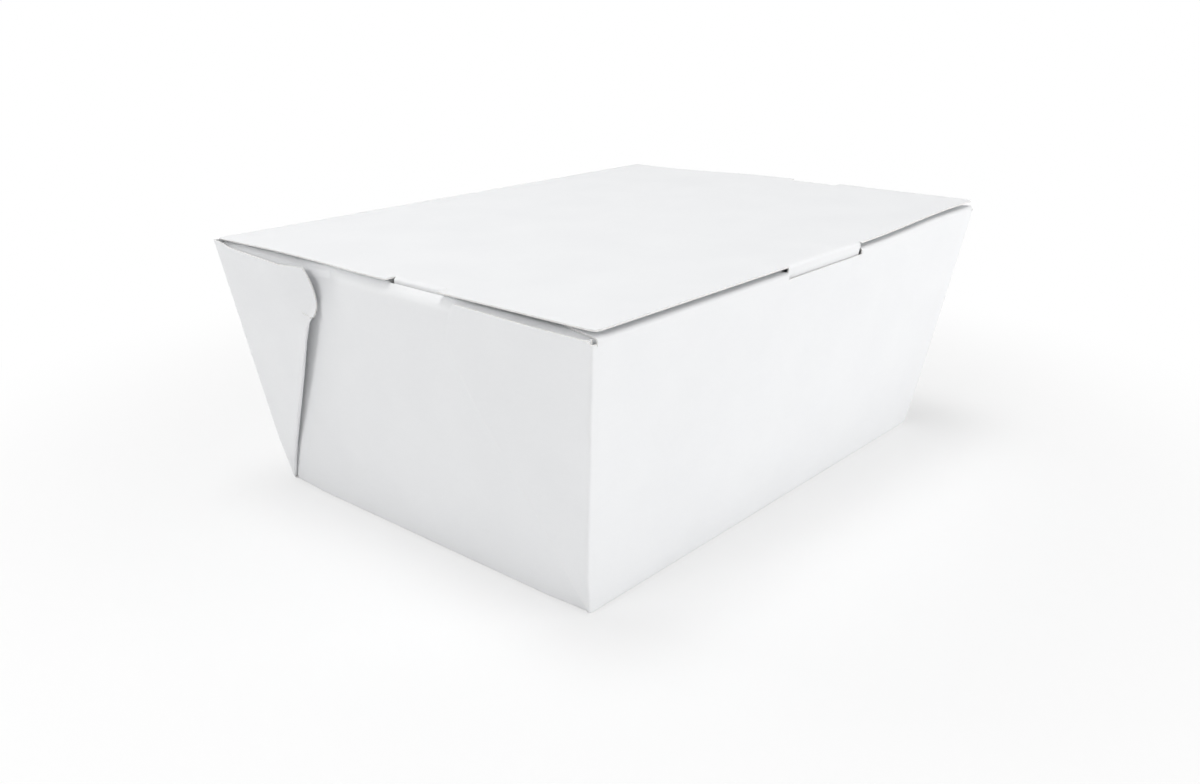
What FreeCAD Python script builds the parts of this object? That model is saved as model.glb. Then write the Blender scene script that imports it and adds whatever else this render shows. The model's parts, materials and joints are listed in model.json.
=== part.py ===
"""Takeout food box: one tapered, web-cornered sheet of paperboard with a hinged, tucked lid.

Frame: origin on the table under the middle of the box, X along the box, Y across it from the
front wall (-Y) to the lid's crease (+Y), Z up. Shapes are made for one end or one corner and
mirrored. Lengths are in millimetres.
"""
import FreeCAD
import Part
import Sketcher
import os

Vector = FreeCAD.Vector
Rotation = FreeCAD.Rotation

# Driving sizes: alias, value, what it measures
SIZES = (
    ("board", 0.5, "thickness of the paperboard"),
    ("base_length", 197.0, "bottom, along the box"),
    ("base_width", 140.0, "bottom, across the box"),
    ("flare", 12.8, "how far each wall leans out at the rim"),
    ("rim_height", 87.3, "height of the front wall's crease"),
    ("end_drop", 0.7, "how much lower the end walls' creases are"),
    ("layer_gap", 0.15, "air between folded layers and along a folded corner"),
    ("fit_gap", 0.35, "clearance round the lid's crease and the front tab"),
    ("web_fold_height", 69.3, "height where a web's slanting fold ends"),
    ("web_margin", 1.3, "from the rim down to a web's cut top edge"),
    ("tongue_radius", 9.2, "round end of a web's outer layer"),
    ("tongue_reach", 53.5, "from the corner's edge to the tongue's tip"),
    ("end_crease", 1.6, "outer radius of an end wall's crease"),
    ("front_crease", 1.0, "outer radius of the front wall's crease"),
    ("crease_leg", 2.0, "flat part of a wall above its crease line's seam"),
    ("end_flap_depth", 55.0, "end flap, from its crease inward"),
    ("end_flap_inset", 5.8, "end flap's root, in from the long walls' rim"),
    ("end_flap_taper", 10.0, "how much an end flap's side edge leans in"),
    ("end_flap_slope", 2.0, "degrees that an end flap dips inward"),
    ("inner_flap_depth", 60.0, "inner front flap, from its crease inward"),
    ("inner_flap_inset", 3.2, "inner flap's root, in from the end walls' rim"),
    ("inner_flap_taper", 12.0, "how much the inner flap's side edge leans in"),
    ("flap_corner", 9.0, "cut across the flaps' free corners"),
    ("hinge_rise", 0.55, "lid's crease above the rim"),
    ("lid_rise", 1.2, "how much higher the lid lies at the front"),
    ("lid_overhang", 0.4, "lid's side edge, in from the end walls' rim"),
    ("lid_inset", 0.4, "lid's front edge, in from the front rim"),
    ("lid_corner", 1.5, "cut across the lid's front corners"),
    ("shoulder", 3.5, "how much shorter the lid's crease is at each end"),
    ("shoulder_run", 6.0, "length of the tapered edge beside the crease"),
    ("bend", 1.0, "outer radius where a tab is bent down"),
    ("relief", 0.6, "cut beside a tab that frees its bend"),
    ("front_tab_width", 44.6, "front tab, along the box"),
    ("front_tab_depth", 14.0, "front tab, below its bend"),
    ("side_tab_start", 87.6, "from the lid's crease to a side tab"),
    ("side_tab_width", 24.0, "side tab, across the box"),
    ("side_tab_depth", 11.0, "side tab, below its bend"),
    ("side_tab_inset", 3.0, "side tab's bend, in from the lid's side edge"),
    ("tab_taper", 4.0, "how much narrower each side of a tab's end is"),
    ("slit_room", 0.8, "a slit's extra length at a tab's front end or sides"),
    ("slit_back_room", 3.2, "a side slit's extra length at the tab's back end"),
    ("slit_side", 0.6, "side tab's slit, wider than the tab on each side"),
    ("front_slit_depth", 3.8, "front tab's slit, in from the front rim"),
)

# Half sizes at the rim, and the walls' lean from upright
HALF_LENGTH = "(sizes.base_length / 2 + sizes.flare)"
HALF_WIDTH = "(sizes.base_width / 2 + sizes.flare)"
LEAN = "atan(sizes.flare / sizes.rim_height)"
# Level thickness of the board, of one gap and of a whole web in a leaning wall
SKIN = f"(sizes.board / cos({LEAN}))"
GAP = f"(sizes.layer_gap / cos({LEAN}))"
WEB = f"(2 * {SKIN} + 2 * {GAP})"
# The two halves of a web are equal, so its fold halves the corner of the flat blank
SLANT = "sqrt(sizes.rim_height ^ 2 + sizes.flare ^ 2)"
FOLD_LEAN = f"(45 deg - 2 * atan(sizes.flare / {SLANT}))"
WEB_TOP = "(sizes.rim_height - sizes.web_margin)"
# Axes of the creases: heights, and places across or along the box
END_TOP = "(sizes.rim_height - sizes.end_drop)"
END_Z = f"({END_TOP} - sizes.end_crease)"
END_X = (
    f"(sizes.base_length / 2 + sizes.flare * {END_Z} / sizes.rim_height"
    f" - sizes.end_crease / cos({LEAN}))"
)
FRONT_Z = "(sizes.rim_height - sizes.front_crease)"
FRONT_Y = (
    f"(sizes.base_width / 2 + sizes.flare * {FRONT_Z} / sizes.rim_height"
    f" - sizes.front_crease / cos({LEAN}))"
)
HINGE_Z = "(sizes.rim_height + sizes.hinge_rise)"
HINGE_Y = f"(sizes.base_width / 2 + sizes.flare * {HINGE_Z} / sizes.rim_height - {SKIN} / 2)"
# The lid's own sizes, measured from its crease
LID_TILT = f"atan(sizes.lid_rise / (2 * {HALF_WIDTH}))"
LID_HALF = f"({HALF_LENGTH} - sizes.lid_overhang)"
LID_FRONT = f"({HINGE_Y} + {HALF_WIDTH} - sizes.lid_inset)"
FRONT_BEND_Z = f"({HINGE_Z} + sizes.lid_rise + sizes.board / 2 - sizes.bend)"
FRONT_BEND = (
    f"({HINGE_Y} + sizes.base_width / 2 + sizes.flare * {FRONT_BEND_Z} / sizes.rim_height"
    f" - (sizes.board + sizes.fit_gap + sizes.bend) / cos({LEAN}))"
)
TAB_FACE = f"({LID_HALF} - sizes.side_tab_inset)"
SIDE_BEND = f"({TAB_FACE} - sizes.bend)"
SIDE_TAB_END = "(sizes.side_tab_start + sizes.side_tab_width)"
SLIT_HALF = "(sizes.front_tab_width / 2 + sizes.slit_room)"
# Flap roots, and the heights where walls meet the creases' legs
END_ROOT = f"({HALF_WIDTH} - sizes.end_flap_inset)"
INNER_ROOT = f"({HALF_LENGTH} - sizes.inner_flap_inset)"
END_SEAM = f"({END_Z} - sizes.end_crease * sin({LEAN}) - sizes.crease_leg / 2)"
FRONT_SEAM = f"({FRONT_Z} - sizes.front_crease * sin({LEAN}) - sizes.crease_leg / 2)"
BACK_TOP = f"({HINGE_Z} - sizes.board / 2 - sizes.fit_gap)"
# Longer than the box, for tools that cut or trim right through it
FAR = "(sizes.base_length + sizes.base_width + 4 * sizes.flare)"

ALONG = Vector(1, 0, 0)
ACROSS = Vector(0, 1, 0)
PLANES = {
    "XY": Rotation(),
    "XZ": Rotation(Vector(1, 0, 0), 90),
    "YZ": Rotation(Vector(0, 1, 0), Vector(0, 0, 1), Vector(1, 0, 0), "XYZ"),
}
# A sector's start looks up and its sweep goes towards -X, with its axis along -Y
SECTOR_TURN = Rotation(Vector(0, 0, 1), Vector(-1, 0, 0), Vector(0, -1, 0), "XYZ")


def fill_sheet(doc):
    """Writes the driving sizes into the document's sheet, each with its alias."""
    sheet = doc.addObject("Spreadsheet::Sheet", "sizes")
    for row, (alias, value, meaning) in enumerate(SIZES, start=1):
        sheet.set(f"A{row}", alias)
        sheet.set(f"B{row}", str(value))
        sheet.set(f"C{row}", meaning)
        sheet.setAlias(f"B{row}", alias)
    doc.recompute()


def bind(thing, **expressions):
    """Binds properties to expressions; base_x and the like stand for the placement's."""
    for name, expression in expressions.items():
        path = name.replace("base_", "Placement.Base.").replace("turn_angle", "Placement.Rotation.Angle")
        thing.setExpression(path, expression)


def fuse(doc, name, *pieces):
    """One shape of several that overlap."""
    result = doc.addObject("Part::MultiFuse", name)
    result.Shapes = list(pieces)
    return result


def common(doc, name, *pieces):
    """What all the pieces share."""
    result = doc.addObject("Part::MultiCommon", name)
    result.Shapes = list(pieces)
    return result


def cut(doc, name, base, tool):
    """The base without the tool."""
    result = doc.addObject("Part::Cut", name)
    result.Base = base
    result.Tool = tool
    return result


def both_sides(doc, name, source, normal):
    """A shape together with its mirror image in the plane through the origin."""
    mirror = doc.addObject("Part::Mirroring", f"{name}_mirror")
    mirror.Source = source
    mirror.Normal = normal
    return fuse(doc, name, source, mirror)


def box(doc, name, low, high):
    """A box between two corners, each given as three expressions."""
    block = doc.addObject("Part::Box", name)
    bind(block, base_x=low[0], base_y=low[1], base_z=low[2])
    bind(block, Length=f"{high[0]} - ({low[0]})")
    bind(block, Width=f"{high[1]} - ({low[1]})")
    bind(block, Height=f"{high[2]} - ({low[2]})")
    return block


def tapered(doc, name, past_ends, past_sides, low="0", high=HINGE_Z):
    """A block whose faces are parallel to the box's walls, moved out by the two amounts."""
    block = doc.addObject("Part::Wedge", name)
    block.Placement.Rotation = PLANES["XZ"]
    for level, ends, sides in ((low, "X", "Z"), (high, "X2", "Z2")):
        lean = f"sizes.flare * {level} / sizes.rim_height"
        half_x = f"(sizes.base_length / 2 + {past_ends} + {lean})"
        half_y = f"(sizes.base_width / 2 + {past_sides} + {lean})"
        bind(block, **{f"{ends}min": f"-{half_x}", f"{ends}max": half_x})
        bind(block, **{f"{sides}min": f"-{half_y}", f"{sides}max": half_y})
    bind(block, Ymin=low, Ymax=high)
    return block


def prism(doc, name, plane, corners, reach=FAR):
    """An outline of straight edges, each corner bound to two expressions, and its prism."""
    sketch = doc.addObject("Sketcher::SketchObject", f"{name}_outline")
    sketch.Placement = FreeCAD.Placement(Vector(), PLANES[plane])
    places = []
    for corner in corners:
        places.append(Vector(*(float(sketch.evalExpression(f"1.0 * {part}")) for part in corner)))
    for start, end in zip(places, places[1:] + places[:1]):
        sketch.addGeometry(Part.LineSegment(start, end))
    for index, corner in enumerate(corners):
        following = (index + 1) % len(corners)
        sketch.addConstraint(Sketcher.Constraint("Coincident", index, 2, following, 1))
        for kind, value, expression in zip(("DistanceX", "DistanceY"), places[index], corner):
            constraint = Sketcher.Constraint(kind, -1, 1, index, 1, value)
            number = sketch.addConstraint(constraint)
            sketch.setExpression(f"Constraints[{number}]", expression)
    solid = doc.addObject("Part::Extrusion", name)
    solid.Base = sketch
    solid.DirMode = "Normal"
    solid.Solid = True
    solid.Symmetric = True
    bind(solid, LengthFwd=reach)
    return solid


def folded_edge(doc, name, radius, turn, flap, leg, width):
    """Board bent round an axis along Y: a flat flap towards +X with its top a radius above the
    axis, a bend that turns down past -X by the given angle, and a flat leg beyond the bend."""
    half = f"{width} / 2"
    under = f"({radius} - sizes.board)"
    outer = doc.addObject("Part::Cylinder", f"{name}_outer")
    inner = doc.addObject("Part::Cylinder", f"{name}_inner")
    for cylinder, reach in ((outer, radius), (inner, under)):
        cylinder.Placement.Rotation = SECTOR_TURN
        bind(cylinder, Radius=reach, Height=width, Angle=turn, base_y=half)
    flat = box(doc, f"{name}_flat", ("0", f"-{half}", under), (flap, half, radius))
    beyond = doc.addObject("Part::Box", f"{name}_leg")
    beyond.Placement.Rotation = Rotation(Vector(0, 1, 0), -90)
    bind(beyond, Length=leg, Width=width, Height="sizes.board", turn_angle=f"-({turn})")
    bind(beyond, base_x=f"-{leg} * cos({turn}) - {under} * sin({turn})")
    bind(beyond, base_y=f"-{half}")
    bind(beyond, base_z=f"-{leg} * sin({turn}) + {under} * cos({turn})")
    return fuse(doc, name, cut(doc, f"{name}_bend", outer, inner), flat, beyond)


def long_walls(doc):
    """The front and back walls, which run on past the end walls to the webs' outer layers."""
    outer = tapered(doc, "long_outer", WEB, "0")
    inner = tapered(doc, "long_inner", f"2 * {WEB}", f"-{SKIN}")
    plates = cut(doc, "long_plates", outer, inner)
    window_start = f"{SLIT_HALF} - sizes.relief"
    window_end = f"{INNER_ROOT} + sizes.relief"
    window = box(
        doc, "front_window",
        (window_start, f"-{FAR}", FRONT_SEAM), (window_end, "0", f"2 * {HINGE_Z}"),
    )
    windows = both_sides(doc, "front_windows", window, ALONG)
    front_top = box(
        doc, "front_top", (f"-{FAR}", f"-{FAR}", "sizes.rim_height"), (FAR, "0", f"2 * {HINGE_Z}"),
    )
    back_top = box(doc, "back_top", (f"-{FAR}", "-sizes.board", BACK_TOP), (FAR, FAR, f"2 * {HINGE_Z}"))
    return cut(doc, "long_walls", plates, fuse(doc, "long_tops", windows, front_top, back_top))


def end_walls(doc):
    """The end walls, between the folded corners."""
    outer = tapered(doc, "end_outer", "0", f"-{SKIN} - {GAP}", high=END_TOP)
    inner = tapered(doc, "end_inner", f"-{SKIN}", WEB)
    plates = cut(doc, "end_plates", outer, inner)
    half = f"({END_ROOT} + sizes.relief)"
    window = box(doc, "end_window", (f"-{FAR}", f"-{half}", END_SEAM), (FAR, half, f"2 * {HINGE_Z}"))
    return cut(doc, "end_walls", plates, window)


def webs(doc):
    """The four corner webs, each folded double on the outside of an end wall."""
    corner = ("sizes.base_width / 2", "0")
    reach = f"(sizes.web_fold_height / cos({LEAN}) * tan({FOLD_LEAN}))"
    fold_end = (f"sizes.base_width / 2 - {reach}", "sizes.web_fold_height")
    past_top = (f"{HALF_WIDTH} + {WEB}", WEB_TOP)
    past_bottom = (f"{HALF_WIDTH} + {WEB}", "0")
    tongue_z = f"({WEB_TOP} - sizes.tongue_radius)"
    tongue_y = (
        f"(sizes.base_width / 2 + sizes.flare * {tongue_z} / sizes.rim_height"
        " - sizes.tongue_reach + sizes.tongue_radius)"
    )
    strip = f"sizes.board / cos({FOLD_LEAN})"
    strip_corners = (
        corner, fold_end,
        (f"{fold_end[0]} + {strip}", fold_end[1]), (f"{corner[0]} + {strip}", "0"),
    )

    tongue = doc.addObject("Part::Cylinder", "tongue")
    tongue.Placement.Rotation = Rotation(Vector(0, 1, 0), 90)
    bind(tongue, Radius="sizes.tongue_radius", Height=FAR)
    bind(tongue, base_x=f"-{FAR} / 2", base_y=tongue_y, base_z=tongue_z)
    web_corners = (corner, fold_end, (tongue_y, WEB_TOP), past_top, past_bottom)
    web_shape = fuse(doc, "web_shape", prism(doc, "web", "YZ", web_corners), tongue)
    under_corners = (corner, fold_end, past_top, past_bottom)
    under_shape = prism(doc, "web_under", "YZ", under_corners)
    fold_shape = prism(doc, "web_fold", "YZ", strip_corners)

    layer = cut(
        doc, "web_layer", tapered(doc, "web_layer_outer", WEB, "0"),
        tapered(doc, "web_layer_inner", f"{WEB} - {SKIN}", WEB),
    )
    under_layer = cut(
        doc, "web_under_layer", tapered(doc, "under_outer", f"{GAP} + {SKIN}", f"-{SKIN} - {GAP}"),
        tapered(doc, "under_inner", GAP, WEB),
    )
    fold_layer = cut(
        doc, "web_fold_layer", tapered(doc, "fold_outer", WEB, "0"),
        tapered(doc, "fold_inner", GAP, WEB),
    )
    corner_layer = cut(
        doc, "web_corner_layer",
        tapered(doc, "corner_outer", f"{GAP} + {SKIN}", f"-{SKIN} - {GAP}", high=WEB_TOP),
        fuse(
            doc, "corner_inside", tapered(doc, "corner_middle", f"2 * {WEB}", f"-2 * {SKIN} - {GAP}"),
            tapered(doc, "corner_ends", f"-{SKIN}", WEB),
        ),
    )
    return (
        common(doc, "webs_outer", layer, both_sides(doc, "web_shapes", web_shape, ACROSS)),
        common(doc, "webs_inner", under_layer, both_sides(doc, "under_shapes", under_shape, ACROSS)),
        common(doc, "webs_fold", fold_layer, both_sides(doc, "fold_shapes", fold_shape, ACROSS)),
        corner_layer,
    )


def flap_outline(doc, name, root, start, depth, taper, past):
    """Plan of a flap that reaches towards +X from a crease at `start`, with cut corners."""
    end = f"{start} + {depth}"
    side = (
        (past, root), (start, root),
        (f"{end} - sizes.flap_corner", f"{root} - {taper}"),
        (end, f"{root} - {taper} - sizes.flap_corner"),
    )
    other = [(across, f"-({along})") for across, along in reversed(side)]
    return prism(doc, name, "XY", list(side) + other)


def end_flaps(doc):
    """The two flaps on the end walls' rounded creases, each with a slit for a side tab."""
    turn = f"90 deg + {LEAN} + sizes.end_flap_slope * 1 deg"
    edge = folded_edge(
        doc, "end_edge", "sizes.end_crease", turn,
        "1.2 * sizes.end_flap_depth", "sizes.crease_leg", f"2 * {END_ROOT}",
    )
    edge.Placement.Rotation = Rotation(Vector(0, 1, 0), 1)
    bind(edge, base_x=f"-{END_X}", base_z=END_Z, turn_angle="sizes.end_flap_slope * 1 deg")
    plan = flap_outline(
        doc, "end_flap_plan", END_ROOT, f"-{END_X}",
        "sizes.end_flap_depth", "sizes.end_flap_taper", f"-{HALF_LENGTH} - {WEB}",
    )
    slit_far = f"-{TAB_FACE} - sizes.slit_side"
    slit_near = f"-{TAB_FACE} + sizes.board + sizes.slit_side"
    slit_front = f"{HINGE_Y} - {SIDE_TAB_END} - sizes.slit_room"
    slit_back = f"{HINGE_Y} - sizes.side_tab_start + sizes.slit_back_room"
    slit = box(doc, "side_slit", (slit_far, slit_front, WEB_TOP), (slit_near, slit_back, HINGE_Z))
    flap = cut(doc, "end_flap", common(doc, "end_flap_blank", edge, plan), slit)
    return both_sides(doc, "end_flaps", flap, ALONG)


def inner_flap(doc):
    """The flap on the front wall's crease, under the lid, with a slit for the front tab."""
    edge = folded_edge(
        doc, "front_edge", "sizes.front_crease", f"90 deg + {LEAN}",
        "1.2 * sizes.inner_flap_depth", "sizes.crease_leg", f"2 * {INNER_ROOT}",
    )
    plan = flap_outline(
        doc, "inner_flap_plan", INNER_ROOT, "0",
        "sizes.inner_flap_depth", "sizes.inner_flap_taper", f"-sizes.front_crease - {WEB}",
    )
    slit = box(
        doc, "front_slit", (f"-{HALF_WIDTH}", f"-{SLIT_HALF}", f"-2 * sizes.crease_leg"),
        (f"{FRONT_Y} - {HALF_WIDTH} + sizes.front_slit_depth", SLIT_HALF, "2 * sizes.front_crease"),
    )
    flap = cut(doc, "inner_flap", common(doc, "inner_flap_blank", edge, plan), slit)
    flap.Placement.Rotation = Rotation(Vector(0, 0, 1), 90)
    bind(flap, base_y=f"-{FRONT_Y}", base_z=FRONT_Z)
    return flap


def make_tray(doc):
    """Base, walls, webs and inner flaps: one folded sheet."""
    base = tapered(doc, "base", "0", "0", high="sizes.board")
    tray = fuse(
        doc, "tray", base, long_walls(doc), end_walls(doc), *webs(doc), end_flaps(doc), inner_flap(doc),
    )
    tray.Refine = True
    return tray


def make_lid(doc):
    """Top panel, front tab and side tabs, made level with the crease at the origin."""
    tab_half = "sizes.front_tab_width / 2"
    notch_start = "-(sizes.side_tab_start - sizes.relief)"
    notch_end = f"-({SIDE_TAB_END} + sizes.relief)"
    side = (
        (f"{LID_HALF} - sizes.shoulder", "0"),
        (LID_HALF, "-sizes.shoulder_run"),
        (LID_HALF, notch_start),
        (SIDE_BEND, notch_start),
        (SIDE_BEND, notch_end),
        (LID_HALF, notch_end),
        (LID_HALF, f"-({LID_FRONT} - sizes.lid_corner)"),
        (f"{LID_HALF} - sizes.lid_corner", f"-{LID_FRONT}"),
        (f"{tab_half} + sizes.relief", f"-{LID_FRONT}"),
        (f"{tab_half} + sizes.relief", f"-{FRONT_BEND}"),
    )
    other = [(f"-({across})", along) for across, along in reversed(side)]
    panel = prism(doc, "lid_panel", "XY", list(side) + other, reach="sizes.board")

    crease = doc.addObject("Part::Cylinder", "lid_crease")
    crease.Placement.Rotation = Rotation(Vector(0, 1, 0), 90)
    bind(crease, Radius="sizes.board / 2", Height=f"2 * ({LID_HALF} - sizes.shoulder)")
    bind(crease, base_x=f"-({LID_HALF} - sizes.shoulder)")

    front = folded_edge(
        doc, "front_tab_edge", "sizes.bend", f"90 deg + {LEAN} + {LID_TILT}",
        "2 * sizes.bend", "sizes.front_tab_depth", "sizes.front_tab_width",
    )
    front.Placement.Rotation = Rotation(Vector(0, 0, 1), 90)
    bind(front, base_y=f"-{FRONT_BEND}", base_z="sizes.board / 2 - sizes.bend")
    front_trim = prism(
        doc, "front_tab_shape", "XZ", tab_outline("0", tab_half, "sizes.front_tab_depth"),
    )
    side_edge = folded_edge(
        doc, "side_tab_edge", "sizes.bend", "90 deg",
        "2 * sizes.bend", "sizes.side_tab_depth", "sizes.side_tab_width",
    )
    middle = "-(sizes.side_tab_start + sizes.side_tab_width / 2)"
    bind(side_edge, base_x=f"-{SIDE_BEND}", base_y=middle, base_z="sizes.board / 2 - sizes.bend")
    side_trim = prism(
        doc, "side_tab_shape", "YZ",
        tab_outline(middle, "sizes.side_tab_width / 2", "sizes.side_tab_depth"),
    )
    front_tab = common(doc, "front_tab", front, front_trim)
    side_tabs = both_sides(doc, "side_tabs", common(doc, "side_tab", side_edge, side_trim), ALONG)

    lid = fuse(doc, "lid", panel, crease, front_tab, side_tabs)
    lid.Refine = True
    lid.Placement.Rotation = Rotation(Vector(1, 0, 0), -1)
    bind(lid, base_y=HINGE_Y, base_z=HINGE_Z, turn_angle=f"-{LID_TILT}")
    return lid


def tab_outline(middle, half, depth):
    """A tab seen square on: straight at its bend, then narrower towards its end."""
    top = "sizes.board"
    knee = f"-sizes.bend - {depth} / 3"
    end = f"-sizes.bend - {depth} + sizes.board / 2"
    return [
        (f"{middle} - {half}", top),
        (f"{middle} - {half}", knee),
        (f"{middle} - {half} + sizes.tab_taper", end),
        (f"{middle} + {half} - sizes.tab_taper", end),
        (f"{middle} + {half}", knee),
        (f"{middle} + {half}", top),
    ]


def main():
    doc = FreeCAD.newDocument("takeout_box")
    fill_sheet(doc)
    parts = (make_tray(doc), make_lid(doc))
    doc.recompute()
    for thing in doc.Objects:
        if {"Invalid", "Error"} & set(thing.State):
            raise RuntimeError(f"{thing.Name} failed: {thing.State}")
    for part in parts:
        shape = part.Shape
        if shape.isNull() or not shape.isValid() or len(shape.Solids) != 1:
            raise RuntimeError(f"{part.Label} is not one valid solid")
    os.makedirs("parts", exist_ok=True)
    for part in parts:
        part.Shape.exportStep(f"parts/{part.Label}.step")
        print(part.Label, round(part.Shape.Volume, 1), part.Shape.BoundBox)


main()
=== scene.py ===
"""Takeout food box: one folded, web-cornered sheet of white paperboard with a hinged, tucked lid.

Each part of the sheet is drawn flat as a die-cut blank, scored with cuts, folded along its creases,
eased where the board bows, and given the board's thickness.
"""
import json
import math
import bmesh
import bpy
from bpy.props import FloatProperty, FloatVectorProperty, PointerProperty
from mathutils import Matrix, Vector


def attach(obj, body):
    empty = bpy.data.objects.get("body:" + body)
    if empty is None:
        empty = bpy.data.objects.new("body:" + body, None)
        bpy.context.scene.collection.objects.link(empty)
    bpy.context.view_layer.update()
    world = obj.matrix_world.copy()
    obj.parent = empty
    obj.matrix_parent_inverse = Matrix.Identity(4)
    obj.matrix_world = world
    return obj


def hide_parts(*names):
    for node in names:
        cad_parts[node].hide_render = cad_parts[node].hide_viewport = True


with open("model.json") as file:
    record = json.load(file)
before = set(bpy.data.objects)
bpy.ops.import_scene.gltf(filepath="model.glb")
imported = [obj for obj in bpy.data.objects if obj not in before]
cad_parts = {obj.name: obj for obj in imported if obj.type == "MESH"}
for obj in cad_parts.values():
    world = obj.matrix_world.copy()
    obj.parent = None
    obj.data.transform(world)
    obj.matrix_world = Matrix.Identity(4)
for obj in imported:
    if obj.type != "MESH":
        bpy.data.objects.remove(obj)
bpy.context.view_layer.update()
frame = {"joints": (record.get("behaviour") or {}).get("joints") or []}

bl_info = {
    "name": "Takeout food box",
    "version": (1, 0, 0),
    "blender": (4, 5, 0),
    "location": "3D View > Sidebar > Food box",
    "description": "Builds a folded paperboard takeout box with a hinged, tucked lid",
    "category": "Object",
}

MM = 0.001
HAIR = MM / 1000  # slack for vertices that lie on a scored line
RELIEF = 0.3 * MM  # gap cut beside the root of a flap or tab
HINGE = Vector(frame["joints"][0]["pos_m"])

# Name, place in metres, side in metres and power in watts; each lamp faces the box
LAMPS = (
    ("top_lamp", (-0.1, 0.1, 1.25), 0.45, 4.9),
    ("front_lamp", (0.42, -1.1, 0.27), 0.8, 8.3),
    ("side_lamp", (-0.92, -0.02, 0.5), 0.3, 2.5),
    ("back_lamp", (-0.2, 1.05, 0.45), 0.6, 2.6),
)
# The camera, fitted to the box's corners: place, turn with rise and roll in degrees, and the focal
# length over the picture's width
CAMERA_PLACE = (-0.30437, -0.24780, 0.16694)
CAMERA_ANGLES = (-49.712, 20.116, 0.429)
FOCAL_SHARE = 1106.38 / 1200


def length(name, default, description):
    """A size property in metres."""
    return FloatProperty(name=name, description=description, default=default, unit="LENGTH")


class BoxSizes(bpy.types.PropertyGroup):
    """Sizes of the board, the box and its flaps."""
    board: length("Board", 0.0005, "Thickness of the paperboard")
    base_length: length("Bottom length", 0.197, "Bottom, along the box")
    base_width: length("Bottom width", 0.140, "Bottom, across the box")
    flare: length("Flare", 0.0128, "How far each wall leans out at the rim")
    rim: length("Rim height", 0.0873, "Height of the front wall's crease")
    end_drop: length("End drop", 0.0007, "How much lower the end walls' creases are")
    base_bend: length("Bottom bend", 0.00075, "Middle radius of the bottom creases")
    end_bend: length("End crease", 0.0028, "Middle radius of the end walls' soft creases")
    front_bend: length("Front crease", 0.00075, "Middle radius of the front wall's crease")
    corner_bend: length("Corner bend", 0.0005, "Middle radius of the upright corner creases")
    web_bend: length("Web fold", 0.00033, "Middle radius of a web's slanting fold")
    web_stack: length("Web stack", 0.00131, "From an end wall's middle to its webs' outer layer")
    web_top: length("Web top", 0.0873, "Slant height of a web's cut top edge")
    fold_end: length("Fold end", 0.0714, "Slant height where a web's slanting fold ends")
    web_opening: FloatProperty(
        name="Web opening", description="How far the back webs stand off the end walls",
        default=math.radians(4.4), subtype="ANGLE")
    # The guard line also bounds the band of painted highlight along each crease.
    crease_guard: length("Crease guard", 0.0011, "How far a crease's worn band reaches beside it")
    end_flap: length("End flap", 0.055, "End flap, from its crease inward")
    inner_flap: length("Inner flap", 0.060, "Inner front flap, from its crease inward")
    lid_half: length("Lid half length", 0.1109, "Half of the lid, along the box")
    lid_reach: length("Lid reach", 0.16503, "From the lid's crease to its front edge")
    lid_rise: length("Lid rise", 0.0012, "How much higher the lid lies at the front")
    front_tab: length("Front tab", 0.0446, "Front tab, along the box")
    cut_edge: length("Cut edge", 0.00007, "Rounding of the board's cut edges")


def factor(name, default, description):
    """A property from 0 to 1."""
    return FloatProperty(
        name=name, description=description, default=default, min=0, max=1, subtype="FACTOR")


def tone(name, default, description):
    """A colour property."""
    return FloatVectorProperty(
        name=name, description=description, default=default, subtype="COLOR", min=0, max=1)


class BoxColours(bpy.types.PropertyGroup):
    """Colours and finish of the board and the floor."""
    coat: tone("Coat", (0.872, 0.879, 0.888), "White coat of the board")
    cloud: tone("Coat clouds", (0.850, 0.857, 0.868), "Slightly duller places of the coat")
    # Paler than the coat: rubbed coat along the creases, and a painted highlight where light catches
    # the folds.
    worn: tone("Worn and highlit crease", (0.886, 0.889, 0.891), "Coat rubbed pale and painted with a highlight along the creases")
    core: tone("Cut edge", (0.77, 0.75, 0.72), "Raw board at its cut edges")
    floor: tone("Floor", (0.88, 0.88, 0.88), "Pale floor paper")
    satin: factor("Satin", 0.46, "Roughness of the coat")
    fibre_relief: factor("Fibre relief", 0.35, "Strength of the board's fine relief")


def build_blank(name, outline, height):
    """Draws an outline edge by edge, fills it and leaves the flat blank in edit mode."""
    deselect()
    bpy.ops.mesh.primitive_plane_add(size=MM)
    sheet = bpy.context.object
    sheet.name = name
    bpy.ops.object.mode_set(mode="EDIT")
    bpy.ops.mesh.select_mode(type="VERT")
    bpy.ops.mesh.select_all(action="SELECT")
    bpy.ops.mesh.merge(type="CENTER")
    bpy.ops.transform.translate(value=(*outline[0], height))
    for start, end in zip(outline, outline[1:] + outline[:1]):
        step = (end[0] - start[0], end[1] - start[1], 0)
        bpy.ops.mesh.extrude_region_move(TRANSFORM_OT_translate={"value": step})
    bpy.ops.mesh.select_all(action="SELECT")
    bpy.ops.mesh.remove_doubles(threshold=HAIR)
    bpy.ops.mesh.edge_face_add()
    return sheet


def deselect():
    """Leaves edit mode and selects nothing."""
    if bpy.context.object and bpy.context.object.mode != "OBJECT":
        bpy.ops.object.mode_set(mode="OBJECT")
    bpy.ops.object.select_all(action="DESELECT")


def pick_only(sheet):
    """Makes one object the only selected one."""
    deselect()
    sheet.select_set(True)
    bpy.context.view_layer.objects.active = sheet


def clear_choice(mesh):
    """Leaves nothing selected in an edited mesh."""
    for part in (*mesh.faces, *mesh.edges, *mesh.verts):
        part.select_set(False)


def choose(sheet, wanted):
    """Selects the vertices that a test picks."""
    mesh = bmesh.from_edit_mesh(sheet.data)
    clear_choice(mesh)
    for corner in mesh.verts:
        if wanted(corner):
            corner.select_set(True)
    mesh.select_flush_mode()
    bmesh.update_edit_mesh(sheet.data)


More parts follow.
